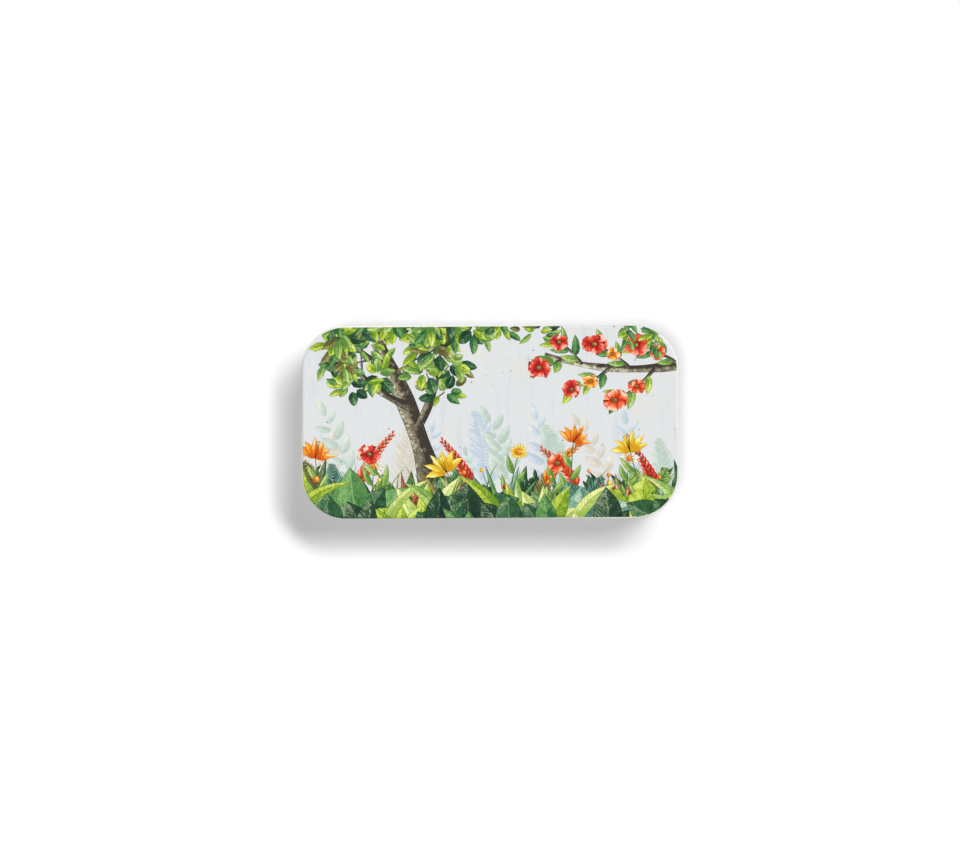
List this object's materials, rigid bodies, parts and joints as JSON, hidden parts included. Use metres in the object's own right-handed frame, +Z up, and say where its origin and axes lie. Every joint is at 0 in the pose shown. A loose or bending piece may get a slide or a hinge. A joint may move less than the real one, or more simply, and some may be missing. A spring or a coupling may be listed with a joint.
{
  "type": "needle tin",
  "caption": "Shallow rounded-rectangle tin for sewing needles: a printed lid hinged along the back overlaps a plain tinplate base with a magnetic sheet on its floor.",
  "frame": {"origin": "centre of the footprint, on the surface that the tin stands on", "axes": "+X along the tin's length, +Y towards the hinges at the back, +Z up"},
  "size_m": [0.094, 0.0484, 0.016],
  "materials": {
    "printed_lacquer": "satin lacquer over a printed botanical pattern",
    "tinplate": "bright rolled tinplate, clear lacquered",
    "steel_wire": "drawn wire",
    "magnetic_rubber": "matte"
  },
  "bodies": {
    "base": {"base_shell": "tinplate", "hinge_pin_left": "steel_wire", "hinge_pin_right": "steel_wire", "magnetic_sheet": "magnetic_rubber"},
    "lid": {"lid_shell": "printed_lacquer"}
  },
  "joints": [
    {"name": "lid_hinge", "type": "hinge", "parent": "base", "child": "lid", "pos_m": [0, 0.02323, 0.00928], "axis": [-1, 0, 0], "range_deg": [0, 135]}
  ]
}
